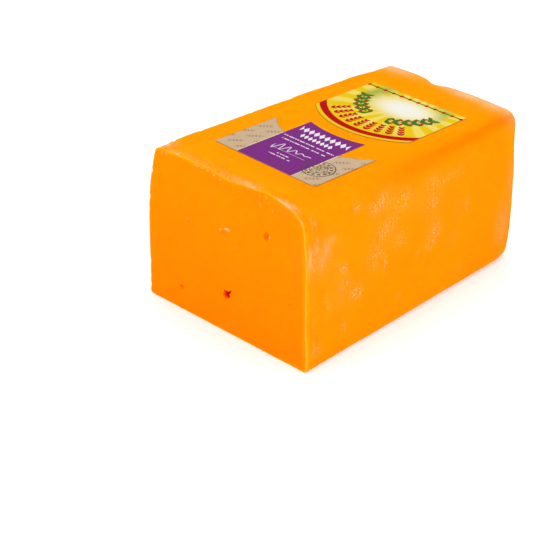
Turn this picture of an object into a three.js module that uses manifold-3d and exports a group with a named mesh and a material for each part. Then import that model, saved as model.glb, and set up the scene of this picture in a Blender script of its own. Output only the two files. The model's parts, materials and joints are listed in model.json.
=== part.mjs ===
// A piece of a mimolette loaf: an orange pressed cheese moulded as a long block, its front end sliced
// away to a flat cut with a few eyes in it, and two die-cut paper labels stuck on its top.
// Millimetres, +Z up. The cut faces -Y, and the loaf stands on its foot with the origin at the middle
// of the rectangle that the whole covers.
import * as THREE from "three";
import { mergeVertices } from "three/addons/utils/BufferGeometryUtils.js";
import Module from "manifold-3d";

const { lerp, smoothstep, degToRad } = THREE.MathUtils;

// Driving dimensions of the loaf
const LENGTH = 188;
const HEIGHT = 95;
const CUT_SKEW = 3.1; // the cut runs this far back at its right edge, and as far forward at its left
const BACK_LEAN = 0.6; // the top of the back end leans in this far
const BACK_DOME = 1.2; // the middle of the back end bulges this far

// The section's corners, before rounding: distance from the middle at the cut and at the back
const FOOT_RIGHT = [60.2, 54.8];
const TOP_RIGHT = [56.5, 50];
const FOOT_LEFT = [60.3, 53];
// The left top edge isn't straight: [share of the length from the cut, distance from the middle]
const TOP_LEFT = [[0, 54.6], [0.25, 55.4], [0.6, 55.8], [0.8, 53.6], [1, 51]];

// How far each long edge's rounding reaches, at the cut and at the back
const FOOT_REACH = [2.5, 6.5];
const TOP_RIGHT_REACH = [19, 9];
const TOP_LEFT_REACH = [2, 6];

// How far each side swells between its edges, at the cut and at the back, most above half height
const RIGHT_SWELL = [0.2, 0.6];
const LEFT_SWELL = [3.4, 1.8];
const SWELL_LEAN = 1.5;

// Rounding of the two ends' rims: the cut is nearly sharp, and the back is moulded round
const CUT_RIM = 0.8;
const CUT_RIM_TOP = 1.4;
const BACK_RIM = 4;
const BACK_RIM_TOP = 4.8;

// The wire left the cut's top rim wavy and a little rolled over, and the back's top rim is dented
const RIM_WAVES = [
  { x: -37, lift: 1.3, width: 10 },
  { x: 1, lift: -1.1, width: 14 },
  { x: 28, lift: 1.8, width: 9 },
  { x: 44, lift: -0.9, width: 6 },
];
const WAVE_DEPTH = 20;
const ROLL_DROP = 0.7;
const ROLL_DEPTH = 7;
const BACK_DENTS = [
  { x: -10, push: 3.6, width: 7 },
  { x: -29, push: -1, width: 9 },
  { x: 14, push: -0.8, width: 9 },
];

// Slow unevenness of the pressed sides: depth, and the run in which each wave turns one radian
const SWAY = { depth: 0.45, along: 17, up: 13, slant: 31 };

// Shares of the height over which a side turns into the top, and over which the dents fade out
const TOP_BAND = [0.6, 0.97];
const DENT_BAND = [0.72, 0.99];

// Eyes in the cut: place across and up, half width, half height, depth, turn in degrees
const EYES = [
  { x: 0.7, z: 24.3, across: 2.7, up: 2.6, depth: 5, turn: 0 },
  { x: 3, z: 26.7, across: 1.9, up: 0.8, depth: 2.4, turn: 48 },
  { x: 29.2, z: 71.6, across: 2.3, up: 2.5, depth: 1.5, turn: 0 },
  { x: 1.2, z: 64.6, across: 2, up: 0.9, depth: 0.7, turn: -8 },
  { x: -34.5, z: 14.5, across: 1.7, up: 1.2, depth: 1.6, turn: 25 },
];
const EYE_LUMPS = 0.1;
const EYE_DETAIL = 3;

// Fineness: points along each side and corner of the section, and rings along the loaf, which crowd
// towards the cut
const SIDE_STEPS = 10;
const CORNER_STEPS = 5;
const LENGTH_STEPS = 26;
const CROWDING = 1.5;
const RIM_STEPS = 3;
const FACE_DRAWS = [0.32, 0.62, 0.82, 0.93];

// Labels: paper as it lies on the top, with its glue
const LABEL_THICKNESS = 0.4;
const LABEL_GAP = 0.1;
const LABEL_CORNER = 1.6;
const FRONT_RIGHT_CORNER = 3.2;
const REAR_LABEL = { left: -37.2, right: 35.4, back: 62.7, side: 11.3, bow: 53 };
const FRONT_LABEL = { left: -38.4, right: 38.2, front: -67.5, tip: -19, bow: 55 };
const PANEL = { right: 20.7, back: -8.8, bow: 66 };
const CURVE_STEPS = 14;

const MIDDLE = HEIGHT / 2;
const QUARTER = Math.PI / 2;

// A value at a share of a list of [share, value] stops, eased between the stops.
function along(stops, share) {
  const next = Math.max(1, stops.findIndex(([stop]) => stop >= share));
  const [from, low] = stops[next - 1];
  const [to, high] = stops[next];
  return lerp(low, high, smoothstep(share, from, to));
}

// The section's corners at a share of the length, in order round it, with the swell of the side
// that follows each.
function corners(share) {
  const between = ([cut, back]) => lerp(cut, back, share);
  const corner = (x, z, reach, swell) => ({ at: new THREE.Vector2(x, z), reach: between(reach), swell });
  return [
    corner(between(FOOT_RIGHT), 0, FOOT_REACH, between(RIGHT_SWELL)),
    corner(between(TOP_RIGHT), HEIGHT, TOP_RIGHT_REACH, 0),
    corner(-along(TOP_LEFT, share), HEIGHT, TOP_LEFT_REACH, between(LEFT_SWELL)),
    corner(-between(FOOT_LEFT), 0, FOOT_REACH, 0),
  ];
}

// The section's outline: rounded corners as quadratic curves, and swollen sides between them.
function section(share) {
  const points = [];
  const list = corners(share);
  const step = (from, to, reach) => to.clone().sub(from).setLength(reach).add(from);
  list.forEach(({ at, reach, swell }, i) => {
    const before = list[(i + 3) % 4];
    const after = list[(i + 1) % 4];
    const start = step(at, after.at, reach);
    const end = step(after.at, at, after.reach);
    const bend = new THREE.QuadraticBezierCurve(step(at, before.at, reach), at, start);
    points.push(...bend.getPoints(CORNER_STEPS).slice(0, -1));
    const out = new THREE.Vector2(end.y - start.y, start.x - end.x).normalize();
    for (let k = 0; k < SIDE_STEPS; k++) {
      const side = start.clone().lerp(end, k / SIDE_STEPS);
      const height = Math.max(0, side.y / HEIGHT);
      points.push(side.addScaledVector(out, swell * Math.sin(Math.PI * height ** SWELL_LEAN)));
    }
  });
  return points;
}

// How much a point belongs to the top of the loaf, from 0 half way up to 1 near the top.
const topness = (z) => smoothstep(z / HEIGHT, ...TOP_BAND);

// A round hump of height 1 centred on x.
const hump = (x, wave) => Math.exp(-(((x - wave.x) / wave.width) ** 2));

// Where the cut and the back end lie along Y, at a place on the section.
const cutAt = (x) => (CUT_SKEW * x) / FOOT_RIGHT[0] - LENGTH / 2;

function backAt(x, z) {
  const bulge = (1 - (x / FOOT_RIGHT[1]) ** 2) * (1 - (z / MIDDLE - 1) ** 2);
  const dents = BACK_DENTS.reduce((sum, dent) => sum + dent.push * hump(x, dent), 0);
  const lean = BACK_LEAN * (z / HEIGHT) ** 2;
  const dented = dents * smoothstep(z / HEIGHT, ...DENT_BAND);
  return LENGTH / 2 - lean + BACK_DOME * Math.max(0, bulge) - dented;
}

// Height that the waves and the roll of the cut's rim add to the top, less with the distance from
// the cut.
function rimLift(x, y, z) {
  const waves = RIM_WAVES.reduce((sum, wave) => sum + wave.lift * hump(x, wave), ROLL_DROP);
  const depth = y - cutAt(x);
  const fade = (run) => 1 - smoothstep(depth, 0, run);
  return topness(z) * (waves * fade(WAVE_DEPTH) - ROLL_DROP * fade(ROLL_DEPTH));
}

// Slow unevenness of the sides, none on the foot, near the ends or where the labels lie.
function sway(share, x, y, z) {
  const upright = smoothstep(z, 4, 20) * (1 - topness(z)) * Math.sin(Math.PI * share);
  const waves = Math.sin(y / SWAY.along + Math.sign(x)) + Math.sin(z / SWAY.up - y / SWAY.slant);
  return SWAY.depth * upright * waves;
}

// One ring of the skin. Turn runs from 0 along the loaf to a quarter in the plane of the nearer end,
// over its rim, and draw pulls such a ring in towards the middle of the end.
function ring(share, turn = 0, draw = 1) {
  return section(share).map(({ x: wide, y: high }) => {
    const cutRim = lerp(CUT_RIM, CUT_RIM_TOP, topness(high));
    const backRim = lerp(BACK_RIM, BACK_RIM_TOP, topness(high));
    const rim = share < 0.5 ? -cutRim : backRim;
    const inset = Math.abs(rim) * (1 - Math.cos(turn));
    const x = wide * draw * (1 - inset / FOOT_RIGHT[0]);
    const z = MIDDLE + (high - MIDDLE) * draw * (1 - inset / MIDDLE);
    const straight = lerp(cutAt(x) + cutRim, backAt(x, z) - backRim, share);
    const y = straight + rim * Math.sin(turn);
    return new THREE.Vector3(x + Math.sign(x) * sway(share, x, y, z), y, z + rimLift(x, y, z));
  });
}

// Every ring from the middle of the cut, over its rim, along the loaf and into the middle of the back.
function rings() {
  const turns = Array.from({ length: RIM_STEPS }, (_, k) => QUARTER * (1 - k / RIM_STEPS));
  const shares = Array.from({ length: LENGTH_STEPS + 1 }, (_, k) => (k / LENGTH_STEPS) ** CROWDING);
  return [
    ...FACE_DRAWS.map((draw) => ring(0, QUARTER, draw)),
    ...turns.map((turn) => ring(0, turn)),
    ...shares.map((share) => ring(share)),
    ...turns.toReversed().map((turn) => ring(1, turn)),
    ...FACE_DRAWS.toReversed().map((draw) => ring(1, QUARTER, draw)),
  ];
}

// A closed mesh through rings of equal length, each end closed by a fan to the middle of its ring.
function loft(list) {
  const count = list[0].length;
  const middle = (points) =>
    points.reduce((sum, p) => sum.add(p), new THREE.Vector3()).divideScalar(count);
  const vertices = [...list.flat(), middle(list[0]), middle(list.at(-1))];
  const poles = list.length * count;
  const faces = [];
  for (let j = 0; j < count; j++) {
    const k = (j + 1) % count;
    faces.push(poles, j, k);
    for (let first = 0; first < poles - count; first += count) {
      const next = first + count;
      faces.push(first + j, next + j, first + k, first + k, next + j, next + k);
    }
    faces.push(poles + 1, poles - count + k, poles - count + j);
  }
  return new THREE.BufferGeometry().setFromPoints(vertices).setIndex(faces);
}

// A lumpy, flattened ball that is taken out of the cut to leave one eye.
function eyeCutter(eye, index) {
  const ball = new THREE.IcosahedronGeometry(1, EYE_DETAIL);
  const places = ball.getAttribute("position");
  const v = new THREE.Vector3();
  for (let i = 0; i < places.count; i++) {
    v.fromBufferAttribute(places, i);
    const lump = Math.sin(3 * v.x + 4 * v.z + index) * Math.cos(3 * v.y + index);
    places.setXYZ(i, ...v.multiplyScalar(1 + EYE_LUMPS * lump));
  }
  ball.scale(eye.across, eye.depth, eye.up);
  ball.rotateY(-degToRad(eye.turn));
  return ball.translate(eye.x, cutAt(eye.x), eye.z);
}

// A geometry as a solid that can be cut, and back.
const wasm = await Module();
wasm.setup();

function toSolid(geometry) {
  const bare = geometry.clone();
  bare.deleteAttribute("normal");
  bare.deleteAttribute("uv");
  const merged = mergeVertices(bare);
  return new wasm.Manifold(
    new wasm.Mesh({
      numProp: 3,
      vertProperties: merged.attributes.position.array,
      triVerts: new Uint32Array(merged.index.array),
    }),
  );
}

function toGeometry(solid) {
  const mesh = solid.getMesh();
  const geometry = new THREE.BufferGeometry();
  geometry.setAttribute("position", new THREE.BufferAttribute(mesh.vertProperties, 3));
  geometry.setIndex(new THREE.BufferAttribute(mesh.triVerts, 1));
  geometry.computeVertexNormals();
  return geometry;
}

function cheese() {
  const eyes = EYES.map((eye, index) => toSolid(eyeCutter(eye, index)));
  return toGeometry(eyes.reduce((solid, eye) => solid.subtract(eye), toSolid(loft(rings()))));
}

// A shape as a flat piece of paper lying on the loaf's top.
function paper(shape) {
  const settings = { depth: LABEL_THICKNESS, bevelEnabled: false, curveSegments: CURVE_STEPS };
  return new THREE.ExtrudeGeometry(shape, settings).translate(0, 0, HEIGHT + LABEL_GAP);
}

// An arc of a circle whose lowest point lies at x, from one half chord to another. The circle
// passes through height y at the half chord named at.
function arc(shape, { x, y, at, bow }, from, to) {
  const swing = (half) => Math.asin(half / bow) - QUARTER;
  const centre = y + Math.sqrt(bow ** 2 - at ** 2);
  shape.absarc(x, centre, bow, swing(from), swing(to), to < from);
}

// The rear label: square behind, its front edge bowed forward.
function rearLabel() {
  const { left, right, back, side, bow } = REAR_LABEL;
  const half = (right - left) / 2;
  const shape = new THREE.Shape();
  arc(shape, { x: left + half, y: side, at: half, bow }, -half, half);
  shape.lineTo(right, back - LABEL_CORNER);
  shape.quadraticCurveTo(right, back, right - LABEL_CORNER, back);
  shape.lineTo(left + LABEL_CORNER, back);
  shape.quadraticCurveTo(left, back, left, back - LABEL_CORNER);
  return paper(shape);
}

// The front label: two wings with a round bite between them, and a panel that stands back through
// the bite, hollowed along its back edge to follow the rear label's bow.
function frontLabel() {
  const { left, right, front, tip, bow } = FRONT_LABEL;
  const half = (right - left) / 2;
  const bite = { x: left + half, y: tip, at: half, bow };
  const hollow = { x: left + half, y: PANEL.back, at: PANEL.right, bow: PANEL.bow };
  const shape = new THREE.Shape();
  shape.moveTo(left + LABEL_CORNER, front);
  shape.lineTo(right - FRONT_RIGHT_CORNER, front);
  shape.quadraticCurveTo(right, front, right, front + FRONT_RIGHT_CORNER);
  arc(shape, bite, half, PANEL.right);
  arc(shape, hollow, PANEL.right, -PANEL.right);
  arc(shape, bite, -PANEL.right, -half);
  shape.lineTo(left, front + LABEL_CORNER);
  shape.quadraticCurveTo(left, front, left + LABEL_CORNER, front);
  return paper(shape);
}

const loaf = new THREE.Group();

function add(name, geometry, color, roughness) {
  const material = new THREE.MeshStandardMaterial({ color, roughness, metalness: 0 });
  const mesh = new THREE.Mesh(geometry, material);
  mesh.name = name;
  loaf.add(mesh);
}

add("cheese_block", cheese(), 0xff9c08, 0.5);
add("label_rear", rearLabel(), 0xf2cc14, 0.6);
add("label_front", frontLabel(), 0xcdb292, 0.8);

const box = new THREE.Box3().setFromObject(loaf);
const centre = box.getCenter(new THREE.Vector3());
loaf.position.set(-centre.x, -centre.y, -box.min.z);

export default loaf;
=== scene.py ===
import json
import math

import bmesh
import bpy
import numpy as np
from mathutils import Matrix, Vector

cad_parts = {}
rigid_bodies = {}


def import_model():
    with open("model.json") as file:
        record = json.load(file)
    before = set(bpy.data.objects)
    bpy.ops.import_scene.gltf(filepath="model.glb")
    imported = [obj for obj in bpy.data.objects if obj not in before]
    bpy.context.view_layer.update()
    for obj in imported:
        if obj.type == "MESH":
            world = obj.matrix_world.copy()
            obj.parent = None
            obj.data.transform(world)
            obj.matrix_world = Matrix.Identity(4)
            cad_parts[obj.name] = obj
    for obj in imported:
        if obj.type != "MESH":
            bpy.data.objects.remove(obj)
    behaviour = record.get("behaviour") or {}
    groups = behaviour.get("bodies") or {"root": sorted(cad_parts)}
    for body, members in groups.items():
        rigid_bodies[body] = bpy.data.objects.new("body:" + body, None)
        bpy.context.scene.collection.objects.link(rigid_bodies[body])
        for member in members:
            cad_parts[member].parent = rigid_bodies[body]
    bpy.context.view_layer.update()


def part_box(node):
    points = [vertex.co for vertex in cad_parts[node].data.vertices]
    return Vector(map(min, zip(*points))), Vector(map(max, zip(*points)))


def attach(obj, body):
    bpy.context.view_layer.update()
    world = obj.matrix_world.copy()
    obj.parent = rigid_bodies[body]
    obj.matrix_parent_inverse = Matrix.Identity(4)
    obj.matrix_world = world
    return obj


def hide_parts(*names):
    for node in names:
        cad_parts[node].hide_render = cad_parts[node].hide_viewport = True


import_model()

# The view. It looks down on the corner where the cut meets the right long side, so that the cut, the
# top with its labels and that side all show.
MM = 0.001
AZIMUTH, ELEVATION, ROLL = (math.radians(angle) for angle in (44.91, 29.85, 1.55))
DISTANCE = 883.9 * MM
AIM = Vector((-60.8, -0.5, -19.9)) * MM
LENS = 94.56
SENSOR = 36


def add_camera():
    """A camera at DISTANCE from AIM, its axes the spherical directions of the view, turned by ROLL."""
    away = Vector((math.sin(AZIMUTH) * math.cos(ELEVATION),
                   -math.cos(AZIMUTH) * math.cos(ELEVATION),
                   math.sin(ELEVATION)))
    level = Vector((math.cos(AZIMUTH), math.sin(AZIMUTH), 0))
    above = away.cross(level)
    right = math.cos(ROLL) * level + math.sin(ROLL) * above
    up = math.cos(ROLL) * above - math.sin(ROLL) * level
    data = bpy.data.cameras.new("camera")
    data.lens = LENS
    data.sensor_width = SENSOR
    camera = bpy.data.objects.new("camera", data)
    camera.matrix_world = (Matrix.Translation(AIM + away * DISTANCE)
                           @ Matrix((right, up, away)).transposed().to_4x4())
    bpy.context.scene.collection.objects.link(camera)
    bpy.context.scene.camera = camera


add_camera()

# The cheese. A long block of pressed, waxy orange paste, moulded with rounded edges. Its front end is
# sliced away, which leaves a flat cut with a thin, slightly torn edge, and a few eyes open in it.
LENGTH = 188
HEIGHT = 95
MIDDLE = HEIGHT / 2
CUT_SKEW = 3.1
BACK_LEAN = 0.6
BACK_DOME = 1.2

# Corners of the section before rounding, as distances from the middle at the cut and at the back
FOOT_RIGHT = (60.2, 54.8)
TOP_RIGHT = (56.5, 50)
FOOT_LEFT = (60.3, 53)
TOP_LEFT = ((0, 54.6), (0.25, 55.4), (0.6, 55.8), (0.8, 53.6), (1, 51))
FOOT_REACH = (2.5, 6.5)
TOP_RIGHT_REACH = (19, 9)
TOP_LEFT_REACH = (2, 6)
RIGHT_SWELL = (0.2, 0.3)
LEFT_SWELL = (3.4, 1.8)
SWELL_LEAN = 1.5

# Rounding of the two ends, and the waves, dents and tears of their top rims as (place, size, width)
CUT_RIM, CUT_RIM_TOP = 0.35, 0.45
BACK_RIM, BACK_RIM_TOP = 4, 4.8
RIM_WAVES = ((-49.5, 1.3, 3), (-37, 1.2, 10), (-13, 1.7, 14), (1, -1.1, 14), (12, 1, 6),
             (27, 1.8, 9.5), (44, -0.5, 6))
WAVE_DEPTH = 20
ROLL_DROP, ROLL_DEPTH = 0.7, 7
BACK_DENTS = ((-10, 3.6, 7), (-29, -1, 9), (14, -0.8, 9))
RIM_TEARS = ((-1.5, 0.35, 0.9), (-12, 0.4, 0.8), (-34, 0.35, 1), (-46, 0.5, 0.8), (45, 0.4, 0.9))
FLAKE_FROM, FLAKE_TO, FLAKE_EDGE, FLAKE_SIZE, FLAKE_DEPTH = 10, 22.8, 0.8, 0.6, 1.6
ROLL_ROUNDS, ROLL_ACROSS, ROLL_UP = 60, (0, 25), (25, 50)
SWAY_DEPTH, SWAY_ALONG, SWAY_UP, SWAY_SLANT, SWAY_ABOVE = 0.45, 17, 13, 31, (4, 20)

# The left top edge stands proud as a lip, the back of the top rises, the right edges of the cut and
# of the back are pressed in, the left edge is nicked, and the back's lower corners are worn off.
# Bells are given as (place, size, width) and rises as (from, to, size)
LIP = (44, 52)
LIP_HUMP, LIP_DIP, LIP_RISE = (24, 0.55, 12), (5, -0.75, 6), (95, 160, 1.1)
BACK_RISE = (160, 177, 1)
PRESSED, PRESSED_NOTCH, PRESSED_DEPTH = 0.65, (77, 1, 5), 14
PRESSED_BACK, PRESSED_BACK_FROM = (77, 0.9, 12), 150
PRESSED_ABOVE, PRESSED_FACE = (10, 30), (35, 56)
NICK_SIZE, NICK_PACE, NICK_DEPTH, NICK_FACE = 0.6, 5, 2.5, (40, 56)
WORN_FROM, WORN_LENGTH, WORN_IN, WORN_UP, WORN_HIGH = 174, 13, 2, 1.3, 24
WORN_FACE = (40, 54)
TOP_BAND = (0.6, 0.97)
DENT_BAND = (0.72, 0.99)

# Low relief: sizes and paces of the paste's unevenness, lumps and drag lines, of what has broken off
# the cut's edge, and of the long crease, and the part of the top that the labels keep flat
UNEVEN_SIZE, UNEVEN_PACE = 0.12, 26
LUMP_SIZE, LUMP_PACE = 0.035, 5.5
DRAG_SIZE, DRAG_PACE = 0.012, (90, 40, 6)
CHIP_SIZE, CHIP_PACE, FINE_CHIP_PACE, CHIP_DEPTH = 0.6, 5, 1.8, 0.9
LEFT_CHIPS, LEFT_CHIP_FACE = 2.4, (30, 50)
FRAY_SIZE, FRAY_PACE, FRAY_AT, FRAY_WIDTH = 0.6, 6, -55, 3
CREASE_SIZE, CREASE_AT, CREASE_SLANT, CREASE_WIDTH = 0.34, -49.9, 0.049, 1.1
CREASE_START, CREASE_END = (-8, 14), (38, 60)
LABELLED_HALF, LABELLED_START, LABELLED_END = 42, (-74, -69), (62, 68)

# Eyes in the cut: place across and up, half width, half height, depth, turn in degrees
EYES = (
    (0.7, 24.3, 2.7, 2.6, 5, 0),
    (3, 26.7, 1.9, 0.8, 2.4, 48),
    (29.2, 71.6, 2.3, 2.5, 1.5, 0),
    (1.2, 64.6, 2, 0.9, 0.7, -8),
    (-4, 63, 0.9, 0.5, 0.5, 30),
    (-29.5, 59.6, 1.1, 0.5, 0.6, 50),
    (-34.5, 14.5, 1.7, 1.2, 1.6, 25),
    (46.6, 37.8, 0.5, 0.5, 0.9, 0),
)
EYE_LUMPS = 0.1

# Points along each side of the section and along the corner before it, from the right foot round to
# the left one, and rings over each rim, along the block and into each end
CORNER_POINTS = (8, 48, 12, 8)
SIDE_POINTS = (112, 150, 72, 16)
RIM_RINGS = 7
LENGTH_RINGS = 132
CROWDING = 1.4
CUT_RINGS, BACK_RINGS = 32, 14

# The whole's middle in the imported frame, found from where the front label lies
LABEL_LEFT, LABEL_FRONT = -38.4, -67.5
label_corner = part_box("label_front")[0]
SHIFT = np.array([label_corner.x / MM - LABEL_LEFT, label_corner.y / MM - LABEL_FRONT, 0])


def smooth(value, low, high):
    """Eased step: 0 up to low, 1 from high on, and 3t^2 - 2t^3 between."""
    t = np.clip((value - low) / (high - low), 0, 1)
    return t * t * (3 - 2 * t)


def bell(value, middle, width):
    """Bell of height 1: e to the minus square of the distance from the middle over the width."""
    return np.exp(-(((value - middle) / width) ** 2))


def eased(stops, share):
    """A value between listed stops, eased from each to the next."""
    places, values = (np.array(column, float) for column in zip(*stops))
    after = np.clip(np.searchsorted(places, share), 1, len(places) - 1)
    ease = smooth(share, places[after - 1], places[after])
    return values[after - 1] + (values[after] - values[after - 1]) * ease


def section(share):
    """Outline across the block, one row of (x, z) points for each share of its length. Each corner is
    a quadratic curve between points at its reach along both sides. Each side is straight, pushed out
    by its swell times the sine of pi times the height share to the power SWELL_LEAN."""
    def between(ends):
        return ends[0] + (ends[1] - ends[0]) * share

    def towards(start, goal, reach):
        way = goal - start
        return start + way / np.linalg.norm(way, axis=-1, keepdims=True) * reach[:, None]

    level = np.zeros_like(share)
    corners = (
        (between(FOOT_RIGHT), level, FOOT_REACH, between(RIGHT_SWELL)),
        (between(TOP_RIGHT), level + HEIGHT, TOP_RIGHT_REACH, level),
        (-eased(TOP_LEFT, share), level + HEIGHT, TOP_LEFT_REACH, between(LEFT_SWELL)),
        (-between(FOOT_LEFT), level, FOOT_REACH, level),
    )
    at = [np.stack([x, z], -1) for x, z, _, _ in corners]
    reach = [between(ends) for _, _, ends, _ in corners]
    outline = []
    for i, (_, _, _, swell) in enumerate(corners):
        after = (i + 1) % 4
        start = towards(at[i], at[after], reach[i])
        end = towards(at[after], at[i], reach[after])
        t = np.linspace(0, 1, CORNER_POINTS[i], endpoint=False)[None, :, None]
        outline.append((1 - t) ** 2 * towards(at[i], at[i - 1], reach[i])[:, None]
                       + 2 * t * (1 - t) * at[i][:, None] + t**2 * start[:, None])
        t = np.linspace(0, 1, SIDE_POINTS[i], endpoint=False)[None, :, None]
        side = start[:, None] + (end - start)[:, None] * t
        out = np.stack([end[:, 1] - start[:, 1], start[:, 0] - end[:, 0]], -1)
        out /= np.linalg.norm(out, axis=-1, keepdims=True)
        height = np.maximum(0, side[..., 1:] / HEIGHT)
        push = swell[:, None, None] * np.sin(np.pi * height**SWELL_LEAN)
        outline.append(side + out[:, None] * push)
    outline = np.concatenate(outline, axis=1)
    return outline + (soften(outline) - outline) * rolled(outline)


def soften(outline):
    """The outline with each point moved, ROLL_ROUNDS times over, half way to its neighbours' middle, so
    that a corner's curve runs into the sides with no line between."""
    soft = outline
    for _ in range(ROLL_ROUNDS):
        soft = soft / 2 + (np.roll(soft, 1, axis=1) + np.roll(soft, -1, axis=1)) / 4
    return soft


def rolled(outline):
    """How much a point belongs to the wide roll between the top and the right side."""
    return smooth(outline[..., :1], *ROLL_ACROSS) * smooth(outline[..., 1:], *ROLL_UP)


def topness(z):
    """How much a point belongs to the top, from 0 half way up to 1 near the top."""
    return smooth(z / HEIGHT, *TOP_BAND)


def cut_at(x):
    """Where the cut lies along Y: a plane that the wire left slightly askew."""
    return CUT_SKEW * x / FOOT_RIGHT[0] - LENGTH / 2


def back_at(x, z):
    """Where the back end lies along Y: leaning in, domed by a product of two parabolas, and dented
    near its top by bells."""
    dome = np.maximum(0, (1 - (x / FOOT_RIGHT[1]) ** 2) * (1 - (z / MIDDLE - 1) ** 2))
    dents = sum(push * bell(x, middle, width) for middle, push, width in BACK_DENTS)
    return (LENGTH / 2 - BACK_LEAN * (z / HEIGHT) ** 2 + BACK_DOME * dome
            - dents * smooth(z / HEIGHT, *DENT_BAND))


def ripple(seed, size, places):
    """Smooth relief of about -1 to 1: sine waves in random directions, of lengths near the size, which
    may differ along X, Y and Z."""
    draw = np.random.default_rng(seed)
    way = draw.normal(size=(14, 3))
    way /= np.linalg.norm(way, axis=1, keepdims=True)
    pace = way * draw.uniform(0.7, 1.4, (14, 1)) / np.broadcast_to(size, 3)
    phase = draw.uniform(0, 2 * np.pi, 14)
    return np.sin(places @ pace.T * 2 * np.pi + phase).sum(-1) / 5


def lift(x, z, depth):
    """How far the top is raised: by the bells of the rim's waves, which end a little way along the
    block, by the hump, dip and rise of the left lip, and by the rise at the back."""
    waves = ROLL_DROP + sum(up * bell(x, middle, width) for middle, up, width in RIM_WAVES)
    waves = waves * (1 - smooth(depth, 0, WAVE_DEPTH)) - ROLL_DROP * (1 - smooth(depth, 0, ROLL_DEPTH))
    lip = smooth(-x, *LIP)
    hump = sum(up * bell(depth, middle, width) for middle, up, width in (LIP_HUMP, LIP_DIP))
    rise = np.maximum(LIP_RISE[2] * lip * smooth(depth, *LIP_RISE[:2]),
                      BACK_RISE[2] * smooth(depth, *BACK_RISE[:2]))
    return topness(z) * (waves + lip * hump + rise)


def pressed_in(x, z, depth):
    """How far the right side is pushed in: evenly beside the cut, with a bell at its notch, and by
    another bell towards the back."""
    notch, deeper, width = PRESSED_NOTCH
    pressed = smooth(z, *PRESSED_ABOVE) * (1 - smooth(depth, 0, PRESSED_DEPTH))
    pressed = pressed * (PRESSED + deeper * bell(z, notch, width))
    notch, deeper, width = PRESSED_BACK
    pressed = pressed + deeper * bell(z, notch, width) * smooth(depth, PRESSED_BACK_FROM, LENGTH)
    return pressed * smooth(x, *PRESSED_FACE)


def nicked(x, y, z, depth):
    """How far the left edge of the cut is broken in, where a ripple along it stands high."""
    broken = np.clip(ripple(14, NICK_PACE, np.stack([0 * x, y, z], -1)) - 0.25, 0, 1)
    return broken * smooth(-x, *NICK_FACE) * NICK_SIZE * (1 - smooth(depth, 0, NICK_DEPTH))


def worn_off(x, z, depth):
    """How worn the lower corners of the back are: a straight rise towards the back, fading upwards."""
    worn = np.clip((depth - WORN_FROM) / WORN_LENGTH, 0, 1) * smooth(np.abs(x), *WORN_FACE)
    return worn * (1 - smooth(z, 0, WORN_HIGH))


def skin(share, turn, draw):
    """Rings of the block's surface, for arrays of one entry a ring. Share runs from the cut to the
    back, turn bends a ring over the nearer rim, and draw pulls it in towards the end's middle. The
    sides sway by two slow sine waves, and then the points are lifted, pressed, nicked and worn."""
    outline = section(share)
    wide, high = outline[..., 0], outline[..., 1]
    share, turn, draw = (each[:, None] for each in (share, turn, draw))
    cut_rim = CUT_RIM + (CUT_RIM_TOP - CUT_RIM) * topness(high)
    back_rim = BACK_RIM + (BACK_RIM_TOP - BACK_RIM) * topness(high)
    rim = np.where(share < 0.5, -cut_rim, back_rim)
    inset = np.abs(rim) * (1 - np.cos(turn))
    x = wide * draw * (1 - inset / FOOT_RIGHT[0])
    z = MIDDLE + (high - MIDDLE) * draw * (1 - inset / MIDDLE)
    start, end = cut_at(x) + cut_rim, back_at(x, z) - back_rim
    y = start + (end - start) * share + rim * np.sin(turn)
    depth = y - cut_at(x)
    upright = smooth(z, *SWAY_ABOVE) * (1 - topness(z)) * np.sin(np.pi * share)
    sway = SWAY_DEPTH * upright * (np.sin(y / SWAY_ALONG + np.sign(x))
                                   + np.sin(z / SWAY_UP - y / SWAY_SLANT))
    worn = worn_off(x, z, depth)
    across = np.sign(x) * (sway - WORN_IN * worn) - pressed_in(x, z, depth) + nicked(x, y, z, depth)
    return np.stack([x + across, y, z + lift(x, z, depth) + WORN_UP * worn], -1)


def outward(places):
    """Normals of a grid of rings: the cross product of the way along the ring and the way to the next
    ring."""
    around = np.roll(places, -1, axis=1) - np.roll(places, 1, axis=1)
    along = np.gradient(places, axis=0)
    normal = np.cross(along, around)
    return normal / np.maximum(np.linalg.norm(normal, axis=-1, keepdims=True), 1e-9)


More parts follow.
